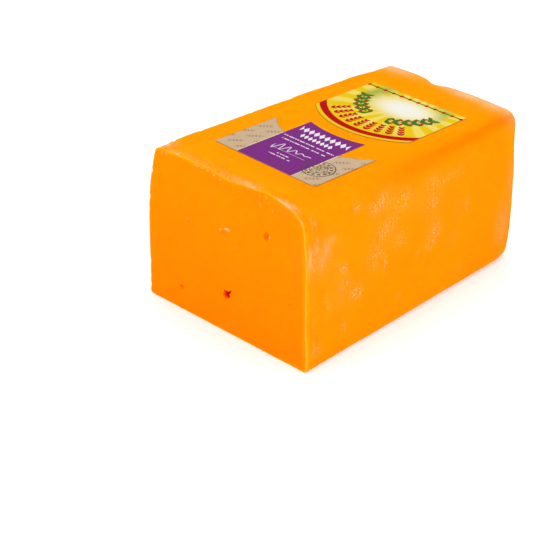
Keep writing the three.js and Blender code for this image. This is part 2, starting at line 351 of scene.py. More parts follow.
def relief(places, on_cut):
    """Depth by which the skin lies below its ideal form: slow unevenness of the pressed paste, fine
    lumps, drag lines of the wire across the cut, chips, tears and a lifted flake along the cut's edge,
    a frayed left top edge, and one long crease beside it. Nothing sinks where the labels lie."""
    x, y, z = places[..., 0], places[..., 1], places[..., 2]
    depth, high = y - cut_at(x), topness(z)
    slow = UNEVEN_SIZE * (1 + ripple(3, UNEVEN_PACE, places)) * (1 - 0.7 * on_cut)
    lumps = LUMP_SIZE * (1 + ripple(5, LUMP_PACE, places)) * (1 - 0.8 * on_cut)
    drag = on_cut * DRAG_SIZE * (1 + ripple(7, DRAG_PACE, places))
    chips = np.clip(ripple(11, CHIP_PACE, places) - 0.4, 0, 1)
    chips = chips + 0.8 * np.clip(ripple(12, FINE_CHIP_PACE, places) - 0.3, 0, 1)
    chips = chips * CHIP_SIZE * np.maximum(high, LEFT_CHIPS * smooth(-x, *LEFT_CHIP_FACE))
    fray = FRAY_SIZE * np.clip(ripple(13, FRAY_PACE, places) - 0.1, 0, 1)
    fray = fray * bell(x, FRAY_AT, FRAY_WIDTH) * high
    tears = sum(size * bell(x, middle, width) for middle, size, width in RIM_TEARS) * high
    flake = smooth(x, FLAKE_FROM, FLAKE_TO) * (1 - smooth(x, FLAKE_TO, FLAKE_TO + FLAKE_EDGE))
    flake = flake * FLAKE_SIZE * bell(depth, 0, FLAKE_DEPTH) * high
    edge = ((chips + tears) * bell(depth, 0, CHIP_DEPTH) + flake) * (1 - on_cut) + fray
    crease = CREASE_SIZE * bell(x, CREASE_AT + CREASE_SLANT * y, CREASE_WIDTH) * (z > HEIGHT - 3)
    crease = crease * smooth(y, *CREASE_START) * (1 - smooth(y, *CREASE_END))
    flat = smooth(z, HEIGHT - 1.2, HEIGHT - 0.5) * (np.abs(x) < LABELLED_HALF)
    flat = flat * smooth(y, *LABELLED_START) * (1 - smooth(y, *LABELLED_END))
    return (slow + lumps) * (1 - flat) + drag + edge + crease


def block_skin():
    """The block as vertices and faces: rings from the middle of the cut to the middle of the back,
    closed by a fan at each end."""
    quarter = np.pi / 2
    cut_draws = np.sin(np.linspace(0.02, 1, CUT_RINGS, endpoint=False) * quarter)
    back_draws = np.linspace(1, 0.03, BACK_RINGS + 1)[1:]
    turns = np.linspace(quarter, 0, RIM_RINGS, endpoint=False)
    shares = np.linspace(0, 1, LENGTH_RINGS) ** CROWDING
    share = np.concatenate([0 * cut_draws, 0 * turns, shares, 1 + 0 * turns, 1 + 0 * back_draws])
    turn = np.concatenate([quarter + 0 * cut_draws, turns, 0 * shares, turns[::-1],
                           quarter + 0 * back_draws])
    draw = np.concatenate([cut_draws, 1 + 0 * turns, 1 + 0 * shares, 1 + 0 * turns, back_draws])
    places = skin(share, turn, draw)
    on_cut = ((share == 0) * np.sin(turn))[:, None]
    normal = outward(places)
    places = places - normal * relief(places, on_cut)[..., None]
    places[..., 2] = np.maximum(places[..., 2], 0)
    rings, count = places.shape[:2]
    index = np.arange(rings * count).reshape(rings, count)
    beside = np.roll(index, -1, axis=1)
    quads = np.stack([index[:-1], index[1:], beside[1:], beside[:-1]], -1).reshape(-1, 4)
    first, last = rings * count, rings * count + 1
    start_fan = np.stack([np.full(count, first), index[0], beside[0]], -1)
    end_fan = np.stack([np.full(count, last), beside[-1], index[-1]], -1)
    vertices = np.concatenate([places.reshape(-1, 3), places[[0, -1]].mean(axis=1)])
    return vertices, [*quads.tolist(), *start_fan.tolist(), *end_fan.tolist()]


def make_piece(name, places, faces):
    """A smooth-shaded mesh object from places in millimetres in the block's frame."""
    mesh = bpy.data.meshes.new(name)
    mesh.from_pydata(((places + SHIFT) * MM).tolist(), [], faces)
    mesh.shade_smooth()
    piece = bpy.data.objects.new(name, mesh)
    bpy.context.scene.collection.objects.link(piece)
    return piece


def eye_cutter(number, eye):
    """A lumpy flattened ball: each point of a fine sphere is moved out by the product of two waves,
    then the ball is stretched to the eye's half sizes, turned in the cut's plane and set into it."""
    x, z, across, up, depth, turn = eye
    ball = bmesh.new()
    bmesh.ops.create_icosphere(ball, subdivisions=5, radius=1)
    places = np.array([v.co for v in ball.verts])
    faces = [[v.index for v in face.verts] for face in ball.faces]
    ball.free()
    lump = (np.sin(places @ (3, 0, 4) + number) * np.cos(3 * places[:, 1] + number)
            + 0.5 * ripple(20 + number, 0.9, places))
    places = places * (1 + EYE_LUMPS * lump)[:, None] * (across, depth, up)
    c, s = math.cos(math.radians(turn)), math.sin(math.radians(turn))
    places = places @ np.array([[c, 0, s], [0, 1, 0], [-s, 0, c]])
    return make_piece(f"eye_cutter_{number}", places + (x, cut_at(x), z), faces)


def open_eyes(block):
    """Takes the cutters out of the block in one Boolean, and removes them."""
    cutters = bpy.data.collections.new("eye_cutters")
    bpy.context.scene.collection.children.link(cutters)
    for number, eye in enumerate(EYES):
        cutter = eye_cutter(number, eye)
        bpy.context.scene.collection.objects.unlink(cutter)
        cutters.objects.link(cutter)
    cut = block.modifiers.new("eyes", "BOOLEAN")
    cut.operation = "DIFFERENCE"
    cut.operand_type = "COLLECTION"
    cut.collection = cutters
    cut.solver = "MANIFOLD"
    graph = bpy.context.evaluated_depsgraph_get()
    opened = bpy.data.meshes.new_from_object(block.evaluated_get(graph))
    block.modifiers.clear()
    block.data = opened
    for cutter in list(cutters.objects):
        bpy.data.objects.remove(cutter)
    bpy.data.collections.remove(cutters)


# Pale, slightly rough places, partly rubbed skin and partly painted highlight and reflection where
# the rolled rims catch the light, as (x, y behind the cut, z, half sizes, strength): on the rolled
# top rim, on the side beside the cut, and along the back's top rim
BLOOMS_AND_SHEEN = (
    (-52, 7, 95.5, 4.5, 4.5, 5, 0.9), (-42, 2, 96, 6, 2.2, 3, 0.3), (-25, 2.4, 96, 14, 2.6, 3, 0.2),
    (-3, 1.8, 94, 9, 2.6, 3, 0.4), (10, 2.6, 94.5, 7, 2.6, 3, 0.6), (18, 1.4, 95.5, 5, 1.7, 3, 0.8),
    (36, 0.5, 95.5, 4, 0.9, 3, 0.8), (43, 0.7, 93, 4.5, 1, 4, 1), (41, 2.2, 94.5, 4, 1.4, 3, 0.55),
    (45.5, 3, 92.5, 2.5, 1.3, 3, 0.5), (52.5, 0.5, 88.5, 1.2, 0.6, 1.6, 0.9),
    (58, 3.2, 70.9, 6, 0.8, 3.2, 0.9), (58, 15, 69.7, 6, 2.8, 5, 0.4),
    (58, 19.5, 73.5, 6, 2.6, 2.2, 0.3), (58, 7.4, 71.9, 6, 1.4, 2.4, 0.45),
    (58, 8.3, 76.7, 6, 0.7, 1.6, 0.5), (58, 2.9, 64.5, 6, 1.4, 4.5, 0.45),
    (58, 11.6, 62.2, 6, 2, 4.5, 0.33), (58, 9, 66, 6, 7, 9, 0.09),
    (57, 28.7, 52.8, 6, 1.1, 1.1, 0.5), (57, 26.3, 53, 6, 0.8, 0.8, 0.3), (56, 26, 38, 6, 5, 9, 0.07),
    (56, 64, 81, 6, 8, 7, 0.05), (54, 175, 28, 6, 6, 13, 0.08), (54, 182, 55, 6, 4, 9, 0.1),
    (54, 128, 55, 6, 4, 7, 0.03), (-40, 184, 96, 14, 6, 6, 0.85), (-4, 183, 96, 8, 4, 6, 0.6),
    (15, 182, 96, 12, 5, 6, 1), (38, 181, 95, 12, 6, 7, 1),
)

# Fields of small vertical scratches on the right side, pale and partly painted glints, as (y from the
# cut, z, half sizes, strength)
SCRATCHES_AND_GLINTS = (
    (40, 84, 3, 3, 0.9), (53.6, 79, 5, 4, 1), (61, 82.5, 4, 4, 0.9), (76, 74, 12, 7, 0.45),
    (63.3, 63, 8, 6, 0.8), (76.8, 53, 5, 5, 0.9), (55.5, 49.4, 7, 7, 0.8), (29, 52.5, 3, 4, 0.8),
    (31, 41.7, 4, 4, 0.9), (40.3, 33.3, 5, 5, 0.9), (64.3, 41.4, 2, 4, 1), (75.7, 17.2, 2, 3, 0.8),
    (16.5, 35, 3, 9, 0.45), (29.8, 16.3, 2, 4, 0.9), (7.5, 10.8, 4, 4, 0.7), (7.4, 86.4, 2, 3, 0.8),
    (91.4, 37.9, 1.5, 2.5, 0.9), (103.7, 77, 6, 5, 0.7), (118, 76, 7, 3, 0.7), (132.4, 75.4, 5, 4, 0.5),
    (79.2, 77.3, 5, 4, 0.8), (136.8, 52.3, 1.5, 4, 1.2), (106.5, 47, 5, 6, 1), (102.7, 40, 5, 3, 0.8),
    (133.4, 11.3, 2, 3, 0.9), (124.8, 35.6, 3, 4, 0.6), (103.4, 65.2, 9, 6, 0.7), (5.5, 66, 3, 9, 0.8),
    (173.3, 25, 5, 11, 0.8), (21, 60, 8, 12, 0.25), (6, 34, 2, 16, 0.3), (179, 55, 4, 10, 0.4),
)
HIDDEN_FIELDS = 16
SIDE_FACE, BACK_FACE = (40, 48), (180, 186)
PIT_DEPTH, PIT_FULL = 1, 3
ARRIS_SPAN = 7
FOLD_POWER = 2.5


def near(distance, reach):
    """1 at no distance, falling in an eased way to 0 at the reach."""
    return 1 - smooth(distance, 0, reach)


def paint_block(block):
    """Writes what the finish follows into the mesh: arris, closeness to the cut's edge; the pale
    rubbed places and the scratches, both partly painted highlight, the sums of soft bells at the listed
    places, with drawn ones on the other sides; pit, depth inside an eye, where shade is painted; and
    fold, how squarely a place faces between the top and the right side, twice the product of its
    normal's x and z to a power, along which shade and a highlight are painted."""
    mesh = block.data
    places, normals = np.zeros(len(mesh.vertices) * 3), np.zeros(len(mesh.vertices) * 3)
    mesh.vertices.foreach_get("co", places)
    mesh.vertices.foreach_get("normal", normals)
    places, normals = places.reshape(-1, 3) / MM - SHIFT, normals.reshape(-1, 3)
    x, y, z = places.T
    depth = y - cut_at(x)
    rim = skin(np.zeros(1), np.full(1, np.pi / 2), np.ones(1))[0]
    to_rim = np.full(len(places), 2.0 * ARRIS_SPAN)
    front = np.flatnonzero(depth < CUT_RIM_TOP)
    for part in np.array_split(front, 8):
        gap = np.linalg.norm(places[part][:, None, ::2] - rim[None, :, ::2], axis=-1)
        to_rim[part] = gap.min(axis=1)
    arris = near(np.where(depth < CUT_RIM, to_rim, depth), ARRIS_SPAN)
    bloom_and_sheen = sum(strength * bell(x, bx, a) * bell(depth, by, b) * bell(z, bz, c)
                for bx, by, bz, a, b, c, strength in BLOOMS_AND_SHEEN)
    bloom_and_sheen = bloom_and_sheen * smooth(depth, 0, CUT_RIM)
    scratch_and_glint = sum(strength * bell(depth, sy, b) * bell(z, sz, c)
                  for sy, sz, b, c, strength in SCRATCHES_AND_GLINTS)
    scratch_and_glint = scratch_and_glint * smooth(x, *SIDE_FACE)
    draw = np.random.default_rng(17)
    for _ in range(HIDDEN_FIELDS):
        fy, fx, fz = draw.uniform(10, 178), draw.uniform(-45, 45), draw.uniform(10, 85)
        b, c, strength = draw.uniform(3, 8), draw.uniform(3, 8), draw.uniform(0.5, 0.9)
        left = bell(depth, fy, b) * smooth(-x, *SIDE_FACE)
        rear = bell(x, fx, b) * smooth(depth, *BACK_FACE)
        scratch_and_glint += strength * bell(z, fz, c) * (left + rear)
    pit = np.zeros(len(places))
    for ex, ez, across, up, deep, _ in EYES:
        inside = (np.hypot(x - ex, z - ez) < 2 * max(across, up)) & (depth < 8) & (deep > PIT_DEPTH)
        pit = np.where(inside, np.clip(depth / PIT_FULL, 0, 1) * min(1, deep / PIT_FULL), pit)
    fold = np.clip(2 * normals[:, 0] * normals[:, 2], 0, 1) ** FOLD_POWER
    carried = {"arris": arris, "bloom_and_sheen": bloom_and_sheen, "scratch_and_glint": scratch_and_glint, "pit": pit, "fold": fold}
    for name, value in carried.items():
        mesh.attributes.new(name, "FLOAT", "POINT").data.foreach_set("value", value.astype(np.float32))


class Ink:
    """A number worked out over a surface: one socket whose + - * / % ** add Math nodes."""

    def __init__(self, finish, socket):
        self.finish, self.socket = finish, socket

    def math(self, operation, *others):
        return self.finish.node("Math", {"operation": operation}, dict(enumerate((self, *others))))

    def __add__(self, other):
        return self.math("ADD", other)

    def __mul__(self, other):
        return self.math("MULTIPLY", other)

    def __sub__(self, other):
        return self.math("SUBTRACT", other)

    def __rsub__(self, other):
        return self * -1 + other

    def __truediv__(self, other):
        return self.math("DIVIDE", other)

    def __mod__(self, other):
        return self.math("FLOORED_MODULO", other)

    def __pow__(self, other):
        return self.math("POWER", other)

    def __abs__(self):
        return self.math("ABSOLUTE")

    __radd__ = __add__
    __rmul__ = __mul__

    def ramp(self, low, high):
        """Eased from 0 at low to 1 at high, which may be the smaller of the two."""
        return self.finish.node("MapRange", {"interpolation_type": "SMOOTHSTEP"},
                                {"Value": self, "From Min": low, "From Max": high})

    def band(self, low, high, edge=0.1):
        """1 between low and high, eased to 0 over an edge on both sides."""
        return self.ramp(low - edge, low + edge) * self.ramp(high + edge, high - edge)

    def capped(self, limit=1.0):
        """At most the limit."""
        return self.math("MINIMUM", limit)


class Finish:
    """A material. Its nodes come from node(), and place holds where a point lies in millimetres."""

    def __init__(self, name, **constants):
        self.material = bpy.data.materials.new(name)
        self.material.use_nodes = True
        self.tree = self.material.node_tree
        self.shader = self.tree.nodes["Principled BSDF"]
        for socket, value in constants.items():
            self.shader.inputs[socket.replace("_", " ")].default_value = value
        spot = self.node("TexCoord", out="Object")
        self.place = self.node("VectorMath", {"operation": "SCALE"}, {0: spot, "Scale": 1 / MM})

    def node(self, kind, settings=None, sockets=None, out=0):
        """Adds a node: its settings first, then its sockets' values or links. Gives one output."""
        made = self.tree.nodes.new("ShaderNode" + kind)
        for name, value in (settings or {}).items():
            setattr(made, name, value)
        for key, value in (sockets or {}).items():
            if isinstance(value, Ink):
                self.tree.links.new(value.socket, made.inputs[key])
            else:
                made.inputs[key].default_value = value
        return Ink(self, made.outputs[out])

    def apart(self, vector):
        """A vector's three numbers."""
        return [self.node("SeparateXYZ", None, {0: vector}, axis) for axis in range(3)]

    def attribute(self, name):
        """A number that the mesh carries."""
        return self.node("Attribute", {"attribute_name": name}, out="Fac")

    def stretch(self, size, middle=(0, 0, 0), turn=(0, 0, 0)):
        """The place measured from a middle, along turned axes, in units of the size."""
        return self.node("Mapping", {"vector_type": "TEXTURE"},
                         {"Vector": self.place, "Location": middle, "Rotation": turn, "Scale": size})

    def grain(self, size, detail=2.0, turn=(0, 0, 0)):
        """Noise of 0 to 1 with features near the size, which may differ along the turned axes."""
        spot = self.stretch(tuple(np.broadcast_to(size, 3)), turn=turn)
        return self.node("TexNoise", None, {"Vector": spot, "Scale": 1.0, "Detail": detail})

    def mix(self, share, under, over):
        """One colour laid over another by a share."""
        return self.node("Mix", {"data_type": "RGBA"}, {0: share, 6: under, 7: over}, out=2)

    def set(self, **links):
        """Joins the Principled shader's sockets."""
        for socket, ink in links.items():
            self.tree.links.new(ink.socket, self.shader.inputs[socket.replace("_", " ")])

    def bump(self, height):
        """Relief from a height in millimetres."""
        self.set(Normal=self.node("Bump", None, {"Height": height, "Distance": MM}))


ORANGE = (0.98, 0.220, 0.0003, 1)
CUT_ORANGE = (0.98, 0.225, 0.0003, 1)
# Deeper orange for the random clouds and for painted shade
DEEP_ORANGE = (0.98, 0.155, 0.0003, 1)
# A yellow for the painted glow and highlight at the cut's edge and along the fold
EDGE_YELLOW = (1.0, 0.31, 0.001, 1)
# Pale colours for rubbed places, scratches and marks, partly painted highlights and glints
PALE = (1.0, 0.47, 0.30, 1)
CREAM = (1.0, 0.62, 0.48, 1)
# Painted shade inside the eyes, deeper the further in
EYE_SHADE_ORANGE = (0.98, 0.14, 0.001, 1)
EYE_SHADE_RED = (0.66, 0.010, 0.001, 1)
EDGE_LINE = (0.955, 0.985)
COMB_PACE = 2.9
STREAK_TURN = 25

# Small pale marks on the cut, partly painted glints, one of them the painted highlight in the
# shallow eye, and chips just under its rim, as (x, z, half sizes, turn in degrees, strength)
SPECKS_AND_GLINTS = (
    (0.3, 64.4, 1.8, 0.6, -10, 2), (-4.5, 62.8, 0.7, 0.5, 30, 1.2), (-29.8, 59.6, 1.0, 0.5, 50, 0.8),
    (8.2, 56.4, 0.4, 0.6, 0, 0.6), (-27, 47.5, 0.5, 0.4, 0, 0.4), (30.1, 70.9, 0.6, 0.9, 0, 2),
    (0, 59, 0.4, 0.6, 0, 0.4), (-22.2, 94.5, 1.8, 0.45, 0, 0.8), (-18.2, 94.6, 0.9, 0.4, 0, 0.8),
    (-14.2, 94.4, 1.2, 0.45, 8, 0.6), (-9.3, 93.6, 0.6, 0.8, 0, 1), (-4.8, 92.6, 0.7, 0.5, 20, 0.7),
    (4.9, 88.5, 0.5, 0.6, 0, 0.6), (23.7, 93.3, 0.6, 0.8, 0, 0.3), (28.2, 94, 0.5, 1.1, 0, 0.3),
    (23.5, 88.8, 0.6, 0.9, 0, 0.25), (24.3, 87, 0.4, 0.9, 0, 0.25), (30.4, 91.4, 0.5, 1.1, 0, 0.25),
    (32.6, 87.6, 0.4, 0.9, 0, 0.5), (-48.9, 93.6, 0.4, 1.2, 10, 0.6), (-45.8, 93.6, 0.4, 1.4, 20, 0.6),
    (-37.4, 95.9, 0.8, 0.5, 0, 1.2),
)
STRAY_SPECKS = 9


def cheese_finish():
    """Translucent orange paste: light sinks a millimetre or two in and the skin is matt. Painted
    into its colour are shade low down, far back and along the fold, a yellow glow and highlight line
    at the cut's edge, and shade inside the eyes; scratches, rubbed places and marks go pale, partly as
    painted glints and sheen. Each layer's share is worked out first, and then mixed over what lies
    below."""
    wax = Finish("cheese", Subsurface_Weight=1.0, Subsurface_Radius=(1.0, 0.25, 0.1),
                 Subsurface_Scale=1.2 * MM, Specular_IOR_Level=0.004, Coat_Roughness=0.25)
    x, y, z = wax.apart(wax.place)
    arris, bloom_and_sheen, scratch_and_glint = wax.attribute("arris"), wax.attribute("bloom_and_sheen"), wax.attribute("scratch_and_glint")
    pit, fold = wax.attribute("pit"), wax.attribute("fold")
    depth = y - SHIFT[1] - (x - SHIFT[0]) * (CUT_SKEW / FOOT_RIGHT[0]) + LENGTH / 2
    on_cut = depth.ramp(0.35, 0.1)
    side = x.ramp(35, 50)

    # The paste's tone, with painted shade: darker low down, lower on the cut, far back on the side and
    # along the fold towards the back, over random clouds; then a painted highlight lightens the fold
    # near the cut
    cloud = wax.grain(20)
    fleck = wax.grain(2.2, 3.0)
    colour = wax.mix(on_cut, ORANGE, CUT_ORANGE)
    painted_shade_falloff = z.ramp(95, 0) * 0.16 + on_cut * z.ramp(100, -10) * 0.36 + side * depth.ramp(70, 190) * 0.18
    # Painted shade along the roll between the top and the right side, towards the back
    shade = fold * depth.ramp(30, 120) * 0.65
    colour = wax.mix(painted_shade_falloff + shade + (cloud - 0.5) * 0.12, colour, DEEP_ORANGE)
    # Painted highlight: the roll made lighter near the cut
    colour = wax.mix(fold * depth.ramp(80, 20) * (1 - on_cut) * 0.25, colour, EDGE_YELLOW)

    # The cut's edge, with painted light: a broad painted glow beside it, standing in for light that
    # comes through the paste, and a thin painted highlight line on it, broken up where the edge is worn
    painted_glow_beside_cut = arris.ramp(0.45, 0.9) * side * z.ramp(88, 76)
    colour = wax.mix(painted_glow_beside_cut * 0.36, colour, EDGE_YELLOW)
    worn = wax.grain(3.5).ramp(0.3, 0.55) * 0.5 + 0.42
    soft_highlight_line = arris.ramp(0.91, 0.95) * x.ramp(10, -8) * z.ramp(89, 93) * 0.5
    line = arris.ramp(*EDGE_LINE)
    colour = wax.mix((line * (worn + side * 0.35) + soft_highlight_line).capped(), colour, EDGE_YELLOW)

    # Scratches, pale and partly painted glints: small dots, and rows of upright lines like a comb's,
    # both broken up by noise
    dots = (wax.grain((0.75, 0.65, 1.1), 0.0) + scratch_and_glint * 0.06).ramp(0.63, 0.75)
    comb = (y * (2 * math.pi / COMB_PACE) + wax.grain(14) * 5).math("SINE").ramp(0.4, 1)
    comb = comb * wax.grain((6, 6, 10)).ramp(0.42, 0.62)
    marks_and_glints = (scratch_and_glint * (dots * wax.grain(4).ramp(0.25, 0.5) + comb * 0.32)).capped()

    # Rubbed places, partly painted highlight and reflection: pale slanted streaks on the rim and
    # upright smears on the side, patchy all over, and a painted glint on the edge line
    streaks = wax.grain((1, 5, 3), 2.0, (0, 0, math.radians(STREAK_TURN)))
    smears = wax.grain((2, 0.7, 3.5), 2.0)
    upright = side * z.ramp(90, 84)
    wiped = streaks + (smears - streaks) * upright + wax.grain(0.9, 0.0) * 0.3
    wiped = (wiped + bloom_and_sheen * 0.1).ramp(0.62, 0.76)
    blotched = 0.88 - upright * 0.33 - depth.ramp(150, 175) * 0.5
    rubbed_and_sheen = bloom_and_sheen.capped() * (1 - (1 - wiped) * blotched)
    glint = line * (bloom_and_sheen.ramp(0.4, 1) + side * z.ramp(92, 88) * 0.2)
    colour = wax.mix((rubbed_and_sheen * 0.54 + glint * 0.25).capped(), colour, PALE)
    colour = wax.mix(marks_and_glints * 0.32, colour, CREAM)

    # Painted shade inside the eyes, where light is caught, and pale marks on the cut, partly painted
    # glints, each a stretched ball
    colour = wax.mix(pit.ramp(0, 0.25) * 0.9, colour, EYE_SHADE_ORANGE)
    colour = wax.mix(pit.ramp(0.35, 0.85), colour, EYE_SHADE_RED)
    draw = np.random.default_rng(41)
    stray = [(draw.uniform(-50, 45), draw.uniform(8, 88), *draw.uniform(0.25, 0.45, 2), 0, 0.35)
             for _ in range(STRAY_SPECKS)]
    specks_and_glints = 0
    for sx, sz, across, up, turn, strength in (*SPECKS_AND_GLINTS, *stray):
        local = wax.stretch((across, 3, up), (sx + SHIFT[0], cut_at(sx) + SHIFT[1], sz),
                            (0, -math.radians(turn), 0))
        distance = wax.node("VectorMath", {"operation": "LENGTH"}, {0: local}, "Value")
        specks_and_glints = distance.ramp(1.3, 0.6) * strength + specks_and_glints
    specks_and_glints = specks_and_glints * depth.ramp(2.2, 1.8)
    colour = wax.mix((specks_and_glints * 0.3).capped(0.6), colour, CREAM)

    # Fine relief: peel all over, drag lines on the cut, and what the marks leave standing
    peel = wax.grain(1.1, 3.0) * 0.025 + wax.grain(5) * 0.05 * (1 - on_cut * 0.8)
    drag = on_cut * wax.grain((26, 26, 0.9)) * 0.012
    wax.set(Base_Color=colour,
            Roughness=0.5 + fleck * 0.12 - arris * 0.1,
            Coat_Weight=(rubbed_and_sheen * 0.2 + marks_and_glints * 0.2 + specks_and_glints * 0.4).capped())
    wax.bump(peel + drag + marks_and_glints * 0.06 + rubbed_and_sheen * wiped * 0.05)
    return wax.material


block = make_piece("cheese", *block_skin())
open_eyes(block)
paint_block(block)
block.data.set_sharp_from_angle(angle=math.radians(50))
block.data.materials.clear()
block.data.materials.append(cheese_finish())
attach(block, "root")
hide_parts("cheese_block")

# The rear label. A sticker of printed yellow paper, square behind and bowed in front, pressed flat on
# the top. A red band and a row of ears follow the bow, and leafy twigs frame a pale glow behind them.
LABEL_GAP = 0.1
PAPER_THICKNESS = 0.2
PAPER_LIE = 0.04
LABEL_CORNER = 1.6
REAR_LEFT, REAR_RIGHT, REAR_BACK, REAR_SIDE, REAR_BOW = -37.2, 35.4, 62.7, 11.3, 53
REAR_MIDDLE, REAR_HALF = (REAR_LEFT + REAR_RIGHT) / 2, (REAR_RIGHT - REAR_LEFT) / 2
PRINT_YELLOW = (0.61, 0.415, 0.003, 1)
PRINT_SUN = (0.64, 0.53, 0.11, 1)
PRINT_CREAM = (0.64, 0.575, 0.30, 1)
PRINT_WHITE = (0.66, 0.64, 0.57, 1)
PRINT_RED = (0.36, 0.002, 0.005, 1)
PRINT_GREEN = (0.045, 0.13, 0.012, 1)
PRINT_MOSS = (0.22, 0.30, 0.045, 1)
# Painted shade for the labels' outlines
PAPER_EDGE_SHADE = (0.33, 0.16, 0.03, 1)
GLOW_AT, GLOW_HALF = (4, 33), (25, 15)
RAYS = 18
TWIG_LINE, TWIG_PACE, TWIG_FROM, TWIG_TO, TWIG_HALF = 27, 5.4, 7, 37, 0.35
LEAF_LENGTH, LEAF_WIDTH = 3.7, 1.35
BERRY_ASIDE, BERRY = 2.6, (1.2, 0.95)
EAR_PACE, EAR_FROM, EAR_TO, EAR_REACH, STALK_HALF = 8.6, 8.8, 20.6, (38.9, 38.5), 0.3
GRAIN_PACE, GRAIN_LENGTH, GRAIN_WIDTH = 3, 2.2, 0.95
BAND_FROM, BAND_TO = 2.6, 7
BEAD_PACE, BEAD_LINE, BEAD, BEAD_SPRIG = 6.4, 46.6, (1.5, 1.25), 2.4
EDGE_SHADE_FROM, EDGE_SHADE_FULL = 0.5, 0.2


def stations(left, right, left_corner, right_corner, step=1.3):
    """Places across a sheet: even steps, and at each rounded corner a run that crowds to the side."""
    crowd = np.linspace(0, 1, 7) ** 2
    even = np.linspace(left + left_corner, right - right_corner, int((right - left) / step))
    start, end = left + left_corner * crowd[:-1], right - right_corner * crowd[:-1]
    return np.concatenate([start, even, end[::-1]])


def rounded(x, left, right, left_corner, right_corner):
    """How far a rounded corner of reach c draws the sheet's edge in: c times the square of 1 minus
    the square root of the distance from the side over c."""
    gap_left = np.clip((x - left) / left_corner, 0, 1)
    gap_right = np.clip((right - x) / right_corner, 0, 1)
    return left_corner * (1 - np.sqrt(gap_left)) ** 2 + right_corner * (1 - np.sqrt(gap_right)) ** 2


def bow(x, middle, at, y, radius):
    """The arc, lowest at the middle, that passes through y at a half chord."""
    return y + math.sqrt(radius**2 - at**2) - np.sqrt(radius**2 - (x - middle) ** 2)


def sheet(x, front, back, rows):
    """Vertices and faces of a sheet whose columns each run from front to back in even steps. It lies
    on the top, unevenly by a slow ripple."""
    share = np.linspace(0, 1, rows)[:, None]
    y = front + (back - front) * share
    x = np.broadcast_to(x, y.shape)
    uneven = 1 + ripple(31, 30, np.stack([x, y, 0 * x], -1)) / 2
    lie = HEIGHT + LABEL_GAP + PAPER_THICKNESS + PAPER_LIE * uneven
    index = np.arange(x.size).reshape(x.shape)
    faces = np.stack([index[:-1, :-1], index[:-1, 1:], index[1:, 1:], index[1:, :-1]], -1)
    return np.stack([x, y, lie], -1).reshape(-1, 3), faces.reshape(-1, 4)


def make_label(name, sheets, print_finish):
    """Sheets joined along their shared edge, given the paper's thickness downwards. The cut edge is
    darker: painted shade along the sticker's outline."""
    offset = 0
    places, faces = [], []
    for points, quads in sheets:
        places.append(points)
        faces += (quads + offset).tolist()
        offset += len(points)
    label = make_piece(name, np.concatenate(places), faces)
    merged = bmesh.new()
    merged.from_mesh(label.data)
    bmesh.ops.remove_doubles(merged, verts=merged.verts, dist=0.001 * MM)
    merged.to_mesh(label.data)
    merged.free()
    label.data.shade_flat()
    # The paper's cut walls get the painted edge shade
    edge_shade = Finish(name + "_edge", Base_Color=PAPER_EDGE_SHADE, Roughness=0.9, Specular_IOR_Level=0.01)
    label.data.materials.append(print_finish)
    label.data.materials.append(edge_shade.material)
    wall = label.modifiers.new("paper", "SOLIDIFY")
    wall.thickness = PAPER_THICKNESS * MM
    wall.offset = -1
    wall.material_offset_rim = 1
    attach(label, "root")
    return label


